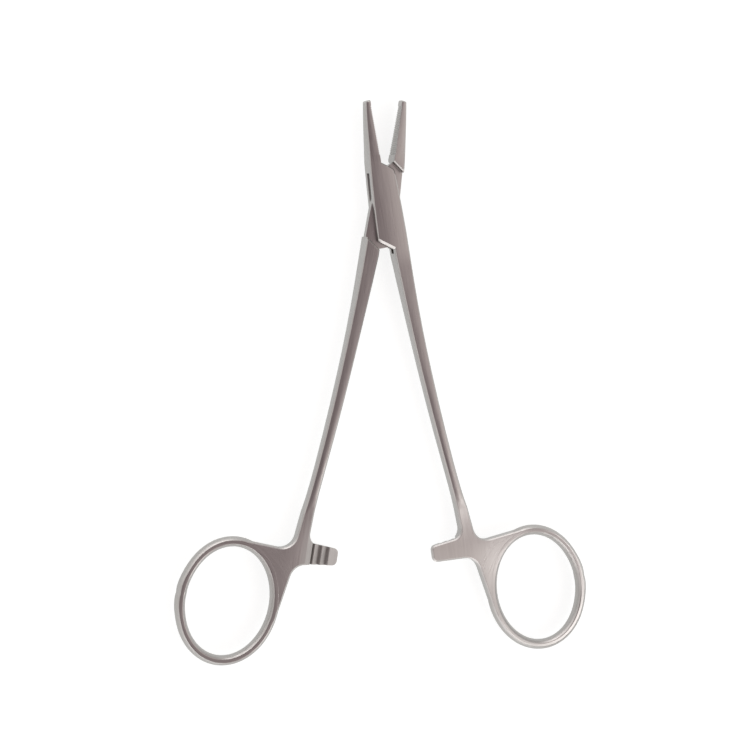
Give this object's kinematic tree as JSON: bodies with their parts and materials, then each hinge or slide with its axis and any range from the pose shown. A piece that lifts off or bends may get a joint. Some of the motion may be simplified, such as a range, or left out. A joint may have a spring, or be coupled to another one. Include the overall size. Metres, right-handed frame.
{
  "type": "surgical needle holder",
  "caption": "Plain steel box lock needle holder with straight serrated jaws, finger rings and a toothed ratchet catch, lying partly open.",
  "frame": {"origin": "on the pivot axis, on the back face of the box lock", "axes": "+Y along the instrument towards the jaw tips, +X to the right and +Z out of the front face, with the instrument seen from the front"},
  "size_m": [0.1126, 0.1453, 0.0054],
  "materials": {
    "arm_steel": "satin ground stainless steel with brighter rounded edges",
    "pin_steel": "satin ground stainless steel, flush with the cheek and nearly invisible"
  },
  "bodies": {
    "box_arm": {"female_arm": "arm_steel", "pivot_pin": "pin_steel"},
    "tenon_arm": {"male_arm": "arm_steel"}
  },
  "joints": [
    {"name": "box_lock", "type": "hinge", "parent": "box_arm", "child": "tenon_arm", "pos_m": [0, 0, 0.0027], "axis": [0, 0, 1], "range_deg": [-41.6, 18.4]}
  ]
}
